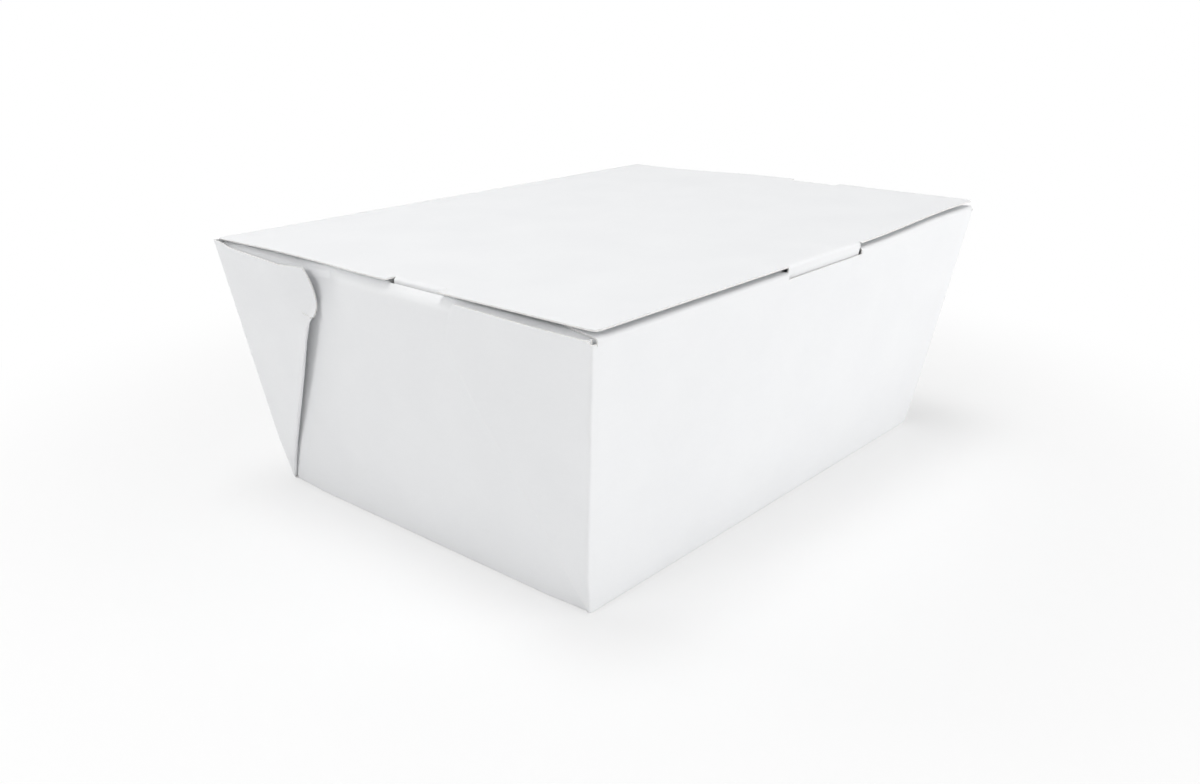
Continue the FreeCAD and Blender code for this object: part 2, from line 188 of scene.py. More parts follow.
def score(point, direction):
    """Cuts the whole flat sheet along a line through a point; the direction is across the line."""
    bpy.ops.mesh.select_all(action="SELECT")
    bpy.ops.mesh.bisect(plane_co=(*point, 0), plane_no=(*direction, 0))


def score_across(axis, places):
    """Cuts the whole flat sheet across an axis at several places along it."""
    for place in places:
        if axis == "X":
            score((place, 0), (1, 0))
        else:
            score((0, place), (0, 1))


def score_wall(sheet, point, direction, low):
    """Cuts only the part of the flat sheet beyond a line across it, so the base keeps its edge."""
    choose(sheet, lambda corner: corner.co.y < low)
    bpy.ops.mesh.bisect(plane_co=(*point, 0), plane_no=(*direction, 0))


def punch(sheet, wanted):
    """Deletes the faces whose middles a test picks."""
    bpy.ops.mesh.select_mode(type="FACE")
    mesh = bmesh.from_edit_mesh(sheet.data)
    clear_choice(mesh)
    for face in mesh.faces:
        face.select_set(wanted(face.calc_center_median()))
    bmesh.update_edit_mesh(sheet.data)
    bpy.ops.mesh.delete(type="FACE")
    bpy.ops.mesh.select_mode(type="VERT")


def turn(angle, axis, point):
    """Turns the selection by the right-hand rule about an axis through a point."""
    bpy.ops.transform.rotate(value=-angle, orient_axis=axis, center_override=point)


def indices(sheet, wanted):
    """Numbers of the vertices that a test on their place picks."""
    mesh = bmesh.from_edit_mesh(sheet.data)
    return {corner.index for corner in mesh.verts if wanted(corner.co)}


def fold(sheet, sets, places, angle, axis):
    """Bends a scored strip: from its last line back to its first, all beyond each line turns."""
    share = angle / len(places)
    for beyond, place in reversed(list(zip(sets, places))):
        choose(sheet, lambda corner: corner.index in beyond)
        turn(share, axis, place)


def fold_along(sheet, lines, beyond, place, angle, axis):
    """Folds a scored strip at its lines; a test says what lies beyond each of them."""
    sets = [indices(sheet, lambda spot: beyond(spot, line)) for line in lines]
    fold(sheet, sets, [place(line) for line in lines], angle, axis)


def spaced(start, end, count):
    """Evenly spaced numbers with both ends."""
    return [start + (end - start) * step / (count - 1) for step in range(count)]


class Blank:
    """Lengths of the flat sheet that follow from the driving sizes, for its middle surface."""

    def __init__(self, sizes):
        half = sizes.board / 2
        self.low = half
        self.lean = math.atan(sizes.flare / sizes.rim)
        self.taper = math.atan(sizes.flare / math.hypot(sizes.flare, sizes.rim))
        self.base_turn = math.pi / 2 - self.lean
        skin = half / math.cos(self.lean)
        self.half_x = sizes.base_length / 2 - skin + half * math.tan(self.lean)
        self.half_y = sizes.base_width / 2 - skin + half * math.tan(self.lean)
        self.tangent = sizes.base_bend * math.tan(self.base_turn / 2)
        self.arc = sizes.base_bend * self.base_turn

    def wall_place(self, slant, half):
        """Where a slant height lies in the flat blank, from the middle of the base."""
        return half - 2 * self.tangent + self.arc + slant

    def slant(self, height):
        """Slant height of a level on a wall's middle surface."""
        return (height - self.low) / math.cos(self.lean)


def mirror(sheet):
    """Mirrors the half sheet end for end and merges the seam."""
    pick_only(sheet)
    part = sheet.modifiers.new("mirror", "MIRROR")
    part.merge_threshold = MM / 100
    bpy.ops.object.modifier_apply(modifier=part.name)


def make_long_wall(sizes, name, front):
    """Half of a long wall with its web, folded, then mirrored; the front wall has the inner flap."""
    blank = Blank(sizes)
    start = blank.half_y - blank.tangent
    place = lambda slant: -blank.wall_place(slant, blank.half_y)
    corner = sizes.base_length / 2 - sizes.board / 2 + sizes.web_stack
    corner_point = Vector((-corner, place(0)))
    taper = blank.taper
    corner_turn = math.acos(math.sin(blank.lean) ** 2)
    corner_tangent = sizes.corner_bend * math.tan(corner_turn / 2)
    corner_arc = sizes.corner_bend * corner_turn

    def web(inward, slant):
        """A place on the folded web's outer layer, as it lies in the flat blank."""
        level = inward - slant * math.tan(taper)
        out = level * math.cos(2 * taper) + slant * math.sin(2 * taper)
        up = slant * math.cos(2 * taper) - level * math.sin(2 * taper)
        return Vector((corner_point.x - out, corner_point.y - up))

    shift = 2 * corner_tangent - corner_arc
    across = Vector((-math.cos(taper), math.sin(taper)))
    slide = lambda spot: spot - across * shift
    # The web's rounded tongue
    tip_inward, tip_slant, tip_radius = 37.7 * MM, 78.9 * MM, 14.0 * MM
    tongue = []
    for angle in spaced(-29.5, 36.5, 14):
        turned = math.radians(angle)
        inward = tip_inward + tip_radius * math.cos(turned)
        tongue.append(slide(web(inward, tip_slant + tip_radius * math.sin(turned))))
    # The web's slanting fold, and its end in the blank
    fold_turn = math.pi / 4
    fold_out = sizes.fold_end * math.tan(fold_turn - 2 * taper)
    fold_tip = slide(web(fold_out + sizes.fold_end * math.tan(taper), sizes.fold_end))
    diagonal_across = Vector((-1, 1)).normalized()
    fold_arc = math.pi * sizes.web_bend
    fold_shift = sizes.web_bend + sizes.board / 2
    fold_nick = [
        fold_tip + diagonal_across * aside
        for aside in (0.3 * MM, -(fold_arc + fold_shift) / 2 - 0.05 * MM)
    ]
    # The web's inner layer, which the fold lays under the outer one
    mirrored = lambda spot: corner_point + Vector(
        (spot.y - corner_point.y, spot.x - corner_point.x))
    under_top = mirrored(slide(web(1.6 * MM, sizes.web_top)))
    under_low = mirrored(slide(web(1.2 * MM, 3.0 * MM)))
    web_low = slide(web(0.0, 1.0 * MM))

    # The wall's upright edge, and the inner flap beyond the front wall's crease
    post = blank.slant(sizes.rim - 1.5 * MM if front else HINGE.z - 0.3 * MM)
    post_width = 0.5 * MM if front else 4.2 * MM
    half_rim = corner + post * math.tan(taper)
    plain_top = place(post)
    flap_root = 110.4 * MM
    bend_turn = math.pi / 2 + blank.lean
    bend_start = blank.slant(sizes.rim - sizes.front_bend - sizes.board / 2)
    bend_start -= sizes.front_bend * math.sin(blank.lean) / math.cos(blank.lean)
    bend_arc = sizes.front_bend * bend_turn
    flap_start = place(bend_start) - bend_arc
    flap_end = flap_start - sizes.inner_flap
    notch = place(bend_start - 1.0 * MM)
    outline = [
        (0, -start), (-corner, -start), (-corner, place(0.6 * MM)),
        web_low, under_low, under_top, *fold_nick, *tongue,
        slide(web(2.4 * post_width, sizes.web_top)), slide(web(post_width, post)),
        slide(web(0, post)), (-half_rim, plain_top),
    ]
    if front:
        outline += [
            (-flap_root - RELIEF, plain_top), (-flap_root - RELIEF, notch), (-flap_root, notch),
            (-flap_root, flap_start), (-flap_root + 14 * MM, flap_end + 9 * MM),
            (-flap_root + 23 * MM, flap_end), (0, flap_end),
        ]
    else:
        outline += [(0, plain_top)]
    sheet = build_blank(name, [tuple(spot) for spot in outline], blank.low)

    # Even lines for soft bows, then the lines of each bend with a guard line beside it
    score_across("X", spaced(0, blank.tangent - blank.half_x, 12)[1:])
    score_across("X", spaced(-108 * MM, -192 * MM, 11))
    score_across("Y", [place(slant) for slant in spaced(8 * MM, 80 * MM, 10)])
    guard = sizes.crease_guard
    base_lines = spaced(-start, -start - blank.arc, 6)
    score_across("Y", (*base_lines[1:], base_lines[-1] - guard))
    low = base_lines[1] + HAIR
    corner_lines = spaced(-corner_tangent, corner_arc - corner_tangent, 6)
    for offset in (corner_lines[0] - guard, *corner_lines, corner_lines[-1] + guard):
        score_wall(sheet, corner_point + across * offset, across, low)
    fold_middle = slide(web(0, 0))
    fold_lines = spaced(-fold_arc / 2, fold_arc / 2, 7)
    for offset in (fold_lines[0] - guard, *fold_lines, fold_lines[-1] + guard):
        point = fold_middle + diagonal_across * (offset - fold_shift / 2)
        score_wall(sheet, point, diagonal_across, low)
    flap_lines = spaced(place(bend_start), flap_start, 7)
    slit_half = sizes.front_tab / 2 + 0.4 * MM
    slit_end = flap_start - 3.8 * MM + sizes.front_bend
    on_line = lambda line: (0, line, blank.low)
    if front:
        score_across("Y", (*flap_lines, notch, slit_end, flap_lines[-1] - guard))
        score_across("X", [-slit_half])
        score_across("Y", spaced(flap_start, flap_end, 8)[1:-1])
        punch(sheet, lambda spot: -slit_half < spot.x and notch > spot.y > slit_end)

        def in_flap(spot, line):
            if spot.y > line + HAIR or spot.x < -flap_root - HAIR:
                return False
            return spot.x < -slit_half + HAIR or spot.y < slit_end + HAIR

        fold_along(sheet, flap_lines, in_flap, on_line, -bend_turn, "X")

    def turned_fold(lines, base, across_line, about, angle, margin, reach=1):
        """Turns the sheet so that a slanting crease lies along Y, folds it and turns it back."""
        along_line = Vector((-across_line.y, across_line.x))

        def beyond(spot, offset):
            away = Vector(spot[:2]) - base
            if spot.x > -corner + 3 * MM or spot.y > place(margin):
                return False
            return away.dot(along_line) < reach + HAIR and away.dot(across_line) > offset - HAIR

        sets = [indices(sheet, lambda spot: beyond(spot, offset)) for offset in lines]
        choose(sheet, lambda corner: True)
        turn(-about, "Z", (*base, 0))
        fold(sheet, sets, [(base.x - offset, base.y, blank.low) for offset in lines], angle, "Y")
        choose(sheet, lambda corner: True)
        turn(about, "Z", (*base, 0))

    middle = fold_middle - diagonal_across * fold_shift / 2
    fold_reach = (fold_tip - middle).length
    turned_fold(fold_lines, middle, diagonal_across, -math.pi / 4, math.pi, -30 * MM, fold_reach)
    opened = 0 if front else sizes.web_opening
    turned_fold(corner_lines, corner_point, across, -taper, corner_turn - opened, 0.7 * MM)

    on_wall = lambda spot, line: spot.y < line + HAIR
    fold_along(sheet, base_lines, on_wall, on_line, -blank.base_turn, "X")
    mirror(sheet)
    return sheet


def make_cross_strip(sizes, name):
    """Half of the base with its end wall and end flap, folded, then mirrored."""
    blank = Blank(sizes)
    start = blank.half_x - blank.tangent
    place = lambda slant: -blank.wall_place(slant, blank.half_x)
    edge = blank.half_y - sizes.board / 2 - 0.1 * MM
    base_edge = blank.half_y - blank.tangent
    slope = math.radians(2)
    bend_turn = math.pi / 2 + blank.lean + slope
    bend_height = sizes.rim - sizes.end_drop - sizes.end_bend - sizes.board / 2
    bend_start = blank.slant(bend_height - sizes.end_bend * math.sin(blank.lean))
    flap_start = place(bend_start) - sizes.end_bend * bend_turn
    flap_end = flap_start - sizes.end_flap
    wide = lambda slant: edge + slant * math.tan(blank.taper)
    root = 81.7 * MM
    notch = bend_start - 1.0 * MM
    # One long side, from the base's middle out along the wall to the chamfered flap
    side = [
        (0, base_edge), (-start, base_edge), (-start, edge), (place(0.5 * MM), edge),
        (place(bend_start), wide(bend_start)), (place(bend_start), root + RELIEF),
        (place(notch), root + RELIEF), (place(notch), root), (flap_start, root),
        (flap_end + 9 * MM, root - 13 * MM), (flap_end, root - 22 * MM),
    ]
    outline = side + [(x, -y) for x, y in reversed(side)]
    sheet = build_blank(name, outline, blank.low)
    score_across("X", spaced(0, -start, 12)[1:])
    score_across("X", [place(slant) for slant in spaced(8 * MM, 80 * MM, 10)])
    score_across("Y", spaced(-72 * MM, 72 * MM, 17))
    score_across("X", spaced(flap_start, flap_end, 8)[1:-1])
    base_lines = spaced(-start, -start - blank.arc, 6)
    flap_lines = spaced(place(bend_start), flap_start, 9)
    guard = sizes.crease_guard
    guards = [base_lines[-1] - guard, flap_lines[0] + guard, flap_start - guard]
    score_across("X", base_lines + flap_lines + guards)
    # The slit for the lid's side tab, at the inner end of the crease
    slit_x = (flap_start + 0.8 * MM, flap_start - 0.6 * MM)
    slit_y = (-25.8 * MM, -2.4 * MM)
    score_across("X", slit_x)
    score_across("Y", slit_y)
    punch(sheet, lambda spot: slit_x[1] < spot.x < slit_x[0] and slit_y[0] < spot.y < slit_y[1])
    on_line = lambda line: (line, 0, blank.low)
    in_flap = lambda spot, line: spot.x < line + HAIR and abs(spot.y) < root + HAIR
    on_wall = lambda spot, line: spot.x < line + HAIR or spot.z > blank.low + HAIR
    fold_along(sheet, flap_lines, in_flap, on_line, bend_turn, "Y")
    fold_along(sheet, base_lines, on_wall, on_line, blank.base_turn, "Y")
    mirror(sheet)
    return sheet


def join(pieces, name):
    """Joins sheets that meet along scored lines into one."""
    deselect()
    for piece in pieces:
        piece.select_set(True)
    bpy.context.view_layer.objects.active = pieces[0]
    bpy.ops.object.join()
    pieces[0].name = name
    pieces[0].data.name = name
    bpy.ops.object.mode_set(mode="EDIT")
    bpy.ops.mesh.select_all(action="SELECT")
    bpy.ops.mesh.remove_doubles(threshold=MM / 200)
    bpy.ops.mesh.normals_make_consistent(inside=False)
    bpy.ops.object.mode_set(mode="OBJECT")
    return pieces[0]


def ease(sheet, wanted, move, reach, along_board=False):
    """Moves a few vertices a little and lets the board round them follow."""
    pick_only(sheet)
    bpy.ops.object.mode_set(mode="EDIT")
    choose(sheet, lambda corner: wanted(corner.co))
    bpy.ops.transform.translate(
        value=move, use_proportional_edit=True, proportional_edit_falloff="SMOOTH",
        proportional_size=reach, use_proportional_connected=along_board,
    )
    bpy.ops.object.mode_set(mode="OBJECT")


def bow_walls(tray, sizes):
    """Bows the walls outward a little and draws the bottom corners in."""
    half_x, half_y = sizes.base_length / 2, sizes.base_width / 2
    end_bow, long_bow, corner_draw = 3.0 * MM, 1.6 * MM, 0.9 * MM
    for side in (-1, 1):
        ease(
            tray, lambda spot: side * spot.x > half_x and -30 * MM < spot.y < 14 * MM
            and 34 * MM < spot.z < 60 * MM,
            (side * end_bow, 0, 0), 36 * MM,
        )
        for far in (-1, 1):
            ease(
                tray, lambda spot: side * spot.x > half_x - MM and far * spot.y > half_y - 1.6 * MM
                and spot.z < 3 * MM,
                (-side * corner_draw, 0, 0), 16 * MM,
            )
    for far in (-1, 1):
        ease(
            tray, lambda spot: far * spot.y > half_y and abs(spot.x) < 55 * MM
            and 36 * MM < spot.z < 56 * MM,
            (0, far * long_bow, 0), 36 * MM,
        )


def set_rim(tray):
    """Presses the back webs' tongues, crowns the end walls' creases and lifts the far front corner."""
    press, middle_rise, back_rise, corner_rise = 3.4 * MM, 0.6 * MM, 0.65 * MM, 1.7 * MM
    on_crease = lambda spot, side: side * spot.x > 106 * MM and spot.z > 85 * MM
    for side in (-1, 1):
        ease(
            tray, lambda spot: side * spot.x > 110.4 * MM and 26 * MM < spot.y < 35 * MM
            and spot.z > 75.5 * MM,
            (-side * press, 0, 0), 10 * MM, True,
        )
        ease(
            tray, lambda spot: on_crease(spot, side) and -30 * MM < spot.y < 6 * MM,
            (0, 0, middle_rise), 40 * MM,
        )
        ease(
            tray, lambda spot: on_crease(spot, side) and side * spot.x < 111.2 * MM
            and 34 * MM < spot.y < 76 * MM,
            (0, 0, back_rise), 30 * MM, True,
        )
    ease(
        tray, lambda spot: spot.x > 85 * MM and spot.y < -78 * MM and spot.z > 84 * MM,
        (0, 0, corner_rise), 62 * MM,
    )


def bow_lid(lid):
    """Crowns the lid a little, most at its far end, and keeps its crease straight."""
    far_rise, near_rise = 1.9 * MM, 0.5 * MM
    ease(
        lid, lambda spot: spot.x > 95 * MM and spot.y < 0 and spot.z > HINGE.z,
        (0, 0, far_rise), 75 * MM,
    )
    ease(
        lid, lambda spot: spot.x < -60 * MM and 30 * MM < spot.y < 52 * MM and spot.z > HINGE.z,
        (0, 0, near_rise), 30 * MM,
    )


def mark_creases(sheet):
    """Marks the vertices in the bends, so that the board's finish can show its creases as wear and as
    a painted highlight.
    """
    mesh = bmesh.new()
    mesh.from_mesh(sheet.data)
    bent = [0.0] * len(mesh.verts)
    for edge in mesh.edges:
        if len(edge.link_faces) == 2 and edge.calc_face_angle() > math.radians(4):
            for corner in edge.verts:
                bent[corner.index] = 1.0
    mesh.free()
    mask = sheet.data.attributes.new(name="crease", type="FLOAT", domain="POINT")
    mask.data.foreach_set("value", bent)


def thicken(sheet, sizes):
    """Gives the sheet the board's thickness and softens its cut edges."""
    pick_only(sheet)
    board = sheet.modifiers.new("board", "SOLIDIFY")
    board.thickness = sizes.board
    board.offset = 0
    board.use_even_offset = True
    board.material_offset_rim = 1
    bpy.ops.object.modifier_apply(modifier=board.name)
    edge = sheet.modifiers.new("cut_edge", "BEVEL")
    edge.width = sizes.cut_edge
    edge.segments = 2
    edge.limit_method = "ANGLE"
    edge.angle_limit = math.radians(60)
    bpy.ops.object.modifier_apply(modifier=edge.name)
    bpy.ops.object.shade_smooth_by_angle(angle=math.radians(35))


def make_lid(sizes, name):
    """Half of the lid's panel with its tabs, folded, then mirrored and laid on the box."""
    blank = Blank(sizes)
    half = sizes.lid_half
    tab_bend = 0.75 * MM
    tab_half = sizes.front_tab / 2
    tilt = math.atan(sizes.lid_rise / (sizes.base_width + 2 * sizes.flare))
    front = -sizes.lid_reach
    front_turn = math.pi / 2 + blank.lean + tilt
    front_axis = front + 1.3 * MM
    front_lines = spaced(front_axis, front_axis - tab_bend * front_turn, 7)
    front_end = front_lines[-1] - 14 * MM
    side_axis = 4 * MM - half
    side_lines = spaced(side_axis, side_axis - tab_bend * math.pi / 2, 6)
    side_end = side_lines[-1] - 11 * MM
    tab_start, tab_end = -86.4 * MM, -107.6 * MM
    # From the crease along the end with its side tab, round the corner to the front tab
    outline = [
        (0, 0), (-half + 0.4 * MM, 0), (-half, -1.2 * MM), (-half, tab_start + RELIEF),
        (side_axis, tab_start + RELIEF), (side_axis, tab_start),
        (side_lines[-1] - 3.7 * MM, tab_start), (side_end, tab_start - 4 * MM),
        (side_end, tab_end + 4 * MM), (side_lines[-1] - 3.7 * MM, tab_end), (side_axis, tab_end),
        (side_axis, tab_end - RELIEF), (-half, tab_end - RELIEF),
        (-half, front + 2.2 * MM), (-half + 0.6 * MM, front + 0.6 * MM), (-half + 2.2 * MM, front),
        (-tab_half - RELIEF, front), (-tab_half - RELIEF, front_axis), (-tab_half, front_axis),
        (-tab_half, front_lines[-1] - 4.7 * MM), (-tab_half + 4 * MM, front_end), (0, front_end),
    ]
    sheet = build_blank(name, outline, 0)
    score_across("X", spaced(0, -104 * MM, 14)[1:])
    score_across("Y", spaced(-8 * MM, -160 * MM, 20))
    score_across("Y", front_lines)
    score_across("X", side_lines)
    in_front_tab = lambda spot, line: spot.y < line + HAIR and spot.x > -tab_half - HAIR
    in_side_tab = lambda spot, line: (
        spot.x < line + HAIR and tab_end - HAIR < spot.y < tab_start + HAIR)
    fold_along(sheet, front_lines, in_front_tab, lambda line: (0, line, 0), front_turn, "X")
    fold_along(sheet, side_lines, in_side_tab, lambda line: (line, 0, 0), -math.pi / 2, "Y")
    choose(sheet, lambda corner: True)
    turn(-tilt, "X", (0, 0, 0))
    bpy.ops.transform.translate(value=HINGE)
    mirror(sheet)
    return sheet


def add_group(name, inputs, outputs):
    """An empty shader node group with named sockets."""
    group = bpy.data.node_groups.new(name, "ShaderNodeTree")
    for label, kind, value in inputs:
        socket = group.interface.new_socket(name=label, in_out="INPUT", socket_type=kind)
        socket.default_value = value
    for label, kind in outputs:
        group.interface.new_socket(name=label, in_out="OUTPUT", socket_type=kind)
    return group, group.nodes.new("NodeGroupInput"), group.nodes.new("NodeGroupOutput")


def feed(tree, side, socket):
    """Links a socket to an input, or sets the input to a number."""
    if isinstance(side, bpy.types.NodeSocket):
        tree.links.new(side, socket)
    else:
        socket.default_value = side


def set_values(node, values):
    """Sets a node's inputs by name."""
    for label, value in values.items():
        node.inputs[label].default_value = value


def add_noise(tree, place, scale, detail):
    """A noise pattern that reads a place; its scale is a socket or a number."""
    noise = tree.nodes.new("ShaderNodeTexNoise")
    feed(tree, scale, noise.inputs["Scale"])
    noise.inputs["Detail"].default_value = detail
    tree.links.new(place, noise.inputs["Vector"])
    return noise.outputs["Fac"]


def add_math(tree, work, first, second):
    """A sum, product or other step; each side is a socket or a number."""
    step = tree.nodes.new("ShaderNodeMath")
    step.operation = work
    for socket, side in zip(step.inputs, (first, second)):
        feed(tree, side, socket)
    return step.outputs[0]


def add_range(tree, value, low, high, to_low, to_high):
    """Maps a value from one range to another."""
    change = tree.nodes.new("ShaderNodeMapRange")
    set_values(change, {"From Min": low, "From Max": high, "To Min": to_low, "To Max": to_high})
    tree.links.new(value, change.inputs["Value"])
    return change.outputs["Result"]


def add_blend(tree, share, first, second):
    """Blends two colours by a share."""
    mix = tree.nodes.new("ShaderNodeMix")
    mix.data_type = "RGBA"
    first_side, second_side = (socket for socket in mix.inputs if socket.type == "RGBA")
    tree.links.new(share, mix.inputs["Factor"])
    tree.links.new(first, first_side)
    tree.links.new(second, second_side)
    return next(socket for socket in mix.outputs if socket.type == "RGBA")


def blend_shaders(tree, share, first, second, surface):
    """Blends two shaders by a share and feeds the blend to a surface socket."""
    blend = tree.nodes.new("ShaderNodeMixShader")
    tree.links.new(share, blend.inputs["Fac"])
    tree.links.new(first.outputs[0], blend.inputs[1])
    tree.links.new(second.outputs[0], blend.inputs[2])
    tree.links.new(blend.outputs[0], surface)


def board_fibres():
    """Group: the board's fine fibres and its cloudy coat, as masks and a height."""
    found = bpy.data.node_groups.get("board_fibres")
    if found:
        return found
    group, given, result = add_group(
        "board_fibres",
        [("Fibre Size", "NodeSocketFloat", 900.0), ("Cloud Size", "NodeSocketFloat", 45.0)],
        [("Fibres", "NodeSocketFloat"), ("Clouds", "NodeSocketFloat"), ("Height", "NodeSocketFloat")],
    )
    place = group.nodes.new("ShaderNodeTexCoord").outputs["Object"]
    layers = []
    for stretch in ((1, 0.22, 1), (0.3, 1, 1)):
        mapping = group.nodes.new("ShaderNodeMapping")
        set_values(mapping, {"Scale": stretch, "Rotation": (0.3, 0.2, 0.5)})
        group.links.new(place, mapping.inputs["Vector"])
        layers.append(add_noise(group, mapping.outputs["Vector"], given.outputs["Fibre Size"], 3))
    fibres = add_math(group, "MULTIPLY", *layers)
    clouds = add_noise(group, place, given.outputs["Cloud Size"], 4)
    group.links.new(add_range(group, fibres, 0.12, 0.42, 0, 1), result.inputs["Fibres"])
    group.links.new(add_range(group, clouds, 0.3, 0.7, 0, 1), result.inputs["Clouds"])
    height = add_math(group, "ADD", fibres, add_math(group, "MULTIPLY", clouds, 0.35))
    group.links.new(height, result.inputs["Height"])
    return group


def crease_wear():
    """Group: how far the coat is rubbed and painted pale as a highlight, broken up along the creases.
    """
    found = bpy.data.node_groups.get("crease_wear")
    if found:
        return found
    group, given, result = add_group(
        "crease_wear", [("Amount", "NodeSocketFloat", 1.0)], [("Wear", "NodeSocketFloat")])
    mask = group.nodes.new("ShaderNodeAttribute")
    mask.attribute_name = "crease"
    place = group.nodes.new("ShaderNodeTexCoord").outputs["Object"]
    coarse = add_range(group, add_noise(group, place, 160, 4), 0.4, 0.7, 0.15, 1)
    fine = add_range(group, add_noise(group, place, 2200, 2), 0.45, 0.65, 0.2, 1)
    broken = add_math(group, "MULTIPLY", coarse, fine)
    # The broken crease mask sets both the wear and the painted highlight.
    worn = add_math(group, "MULTIPLY", mask.outputs["Fac"], broken)
    group.links.new(add_math(group, "MULTIPLY", worn, given.outputs["Amount"]), result.inputs["Wear"])
    return group


def place_group(tree, group, values):
    """Places a node group in a material with its own values."""
    node = tree.nodes.new("ShaderNodeGroup")
    node.node_tree = group
    set_values(node, values)
    return node


def colour_node(tree, colour):
    """A plain colour as a socket."""
    node = tree.nodes.new("ShaderNodeRGB")
    node.outputs[0].default_value = (*colour, 1)
    return node.outputs[0]


def add_bump(tree, height, strength, distance):
    """Raises the surface by a height, in metres at full strength."""
    bump = tree.nodes.new("ShaderNodeBump")
    bump.inputs["Strength"].default_value = strength
    bump.inputs["Distance"].default_value = distance
    tree.links.new(height, bump.inputs["Height"])
    return bump.outputs["Normal"]


def new_material(name, values):
    """A material, its node tree and its Principled shader with its own values."""
    material = bpy.data.materials.new(name)
    material.use_nodes = True
    surface = material.node_tree.nodes["Principled BSDF"]
    set_values(surface, values)
    return material, material.node_tree, surface


def make_coated_board(name, colours):
    """White coated board: satin, cloudy, with fine fibres and worn creases, painted paler as a
    highlight.
    """
    material, tree, surface = new_material(name, {"IOR": 1.45, "Specular IOR Level": 0.4})
    fibres = place_group(tree, board_fibres(), {"Fibre Size": 900.0, "Cloud Size": 45.0})
    wear_and_highlight = place_group(tree, crease_wear(), {"Amount": 1.0})
    coat, cloud = colour_node(tree, colours.coat), colour_node(tree, colours.cloud)
    worn = colour_node(tree, colours.worn)
    share = add_math(tree, "MULTIPLY", fibres.outputs["Clouds"], 0.7)
    share = add_math(tree, "ADD", share, add_math(tree, "MULTIPLY", fibres.outputs["Fibres"], 0.3))
    board = add_blend(tree, share, coat, cloud)
    # Blends in the paler crease colour: rubbed coat and a painted highlight.
    tree.links.new(add_blend(tree, wear_and_highlight.outputs["Wear"], board, worn), surface.inputs["Base Color"])
    rough = add_range(tree, fibres.outputs["Clouds"], 0, 1, colours.satin, colours.satin + 0.09)
    rough = add_math(tree, "ADD", rough, add_math(tree, "MULTIPLY", wear_and_highlight.outputs["Wear"], 0.2))
    tree.links.new(rough, surface.inputs["Roughness"])
    dent = add_math(tree, "MULTIPLY", wear_and_highlight.outputs["Wear"], 0.8)
    height = add_math(tree, "SUBTRACT", fibres.outputs["Height"], dent)
    bumped = add_bump(tree, height, colours.fibre_relief, 0.06 * MM)
    tree.links.new(bumped, surface.inputs["Normal"])
    return material


def make_cut_board(name, colours):
    """The raw cut edge: uncoated, a little warm and rough, with the board's fibres."""
    material, tree, surface = new_material(name, {"Specular IOR Level": 0.2})
    fibres = place_group(tree, board_fibres(), {"Fibre Size": 2600.0, "Cloud Size": 220.0})
    core, pale = colour_node(tree, colours.core), colour_node(tree, colours.cloud)
    colour = add_blend(tree, fibres.outputs["Fibres"], core, pale)
    rough = add_range(tree, fibres.outputs["Clouds"], 0, 1, 0.8, 0.95)
    bumped = add_bump(tree, fibres.outputs["Height"], colours.fibre_relief, 0.1 * MM)
    for value, label in ((colour, "Base Color"), (rough, "Roughness"), (bumped, "Normal")):
        tree.links.new(value, surface.inputs[label])
    return material


def seen_directly(tree):
    """A value that is 1 for what the camera sees, straight or in a gloss, and 0 for light."""
    path = tree.nodes.new("ShaderNodeLightPath")
    total = path.outputs["Is Camera Ray"]
    for ray in ("Is Glossy Ray", "Is Transmission Ray"):
        total = add_math(tree, "MAXIMUM", total, path.outputs[ray])
    return total


def make_floor_paper(colours):
    """Pale paper that keeps the box's shadow and brightens to white away from it."""
    paper, tree, surface = new_material("floor_paper", {
        "Base Color": (*colours.floor, 1), "Roughness": 0.9, "Specular IOR Level": 0.1})
    place = tree.nodes.new("ShaderNodeTexCoord")
    away = tree.nodes.new("ShaderNodeVectorMath")
    away.operation = "LENGTH"
    tree.links.new(place.outputs["Object"], away.inputs[0])
    whiten = add_range(tree, away.outputs["Value"], 0.12, 0.30, 0.5, 1)
    whiten.node.interpolation_type = "SMOOTHSTEP"
    share = add_math(tree, "MULTIPLY", whiten, seen_directly(tree))
    white = tree.nodes.new("ShaderNodeEmission")
    end = tree.nodes["Material Output"].inputs["Surface"]
    blend_shaders(tree, share, surface, white, end)
    return paper


def make_room():
    """A plain room that lights softly and looks white."""
    room = bpy.data.worlds.new("room")
    room.use_nodes = True
    tree = room.node_tree
    light = tree.nodes["Background"]
    set_values(light, {"Color": (1, 1, 1, 1)})
    way = tree.nodes.new("ShaderNodeTexCoord")
    height = tree.nodes.new("ShaderNodeSeparateXYZ")
    tree.links.new(way.outputs["Generated"], height.inputs[0])
    strength = add_range(tree, height.outputs["Z"], 0, 0.9, 0.19, 0.46)
    tree.links.new(strength, light.inputs["Strength"])
    white = tree.nodes.new("ShaderNodeBackground")
    set_values(white, {"Color": (1, 1, 1, 1)})
    end = tree.nodes["World Output"].inputs["Surface"]
    blend_shaders(tree, seen_directly(tree), light, white, end)
    return room


class TAKEOUT_OT_tray(bpy.types.Operator):
    """Fold the base, walls, corner webs and inner flaps from one flat sheet"""
    bl_idname = "takeout.make_tray"
    bl_label = "Make the tray"

    def execute(self, context):
        sizes = context.scene.takeout_sizes
        back = make_long_wall(sizes, "back_wall", False)
        pick_only(back)
        bpy.ops.object.mode_set(mode="EDIT")
        bpy.ops.mesh.select_all(action="SELECT")
        turn(math.pi, "Z", (0, 0, 0))
        front = make_long_wall(sizes, "front_wall", True)
        strip = make_cross_strip(sizes, "cross_strip")
        tray = join([strip, front, back], "folded_tray")
        mark_creases(tray)
        bow_walls(tray, sizes)
        set_rim(tray)
        dress(tray, "tray", context.scene.takeout_colours)
        thicken(tray, sizes)
        return {"FINISHED"}


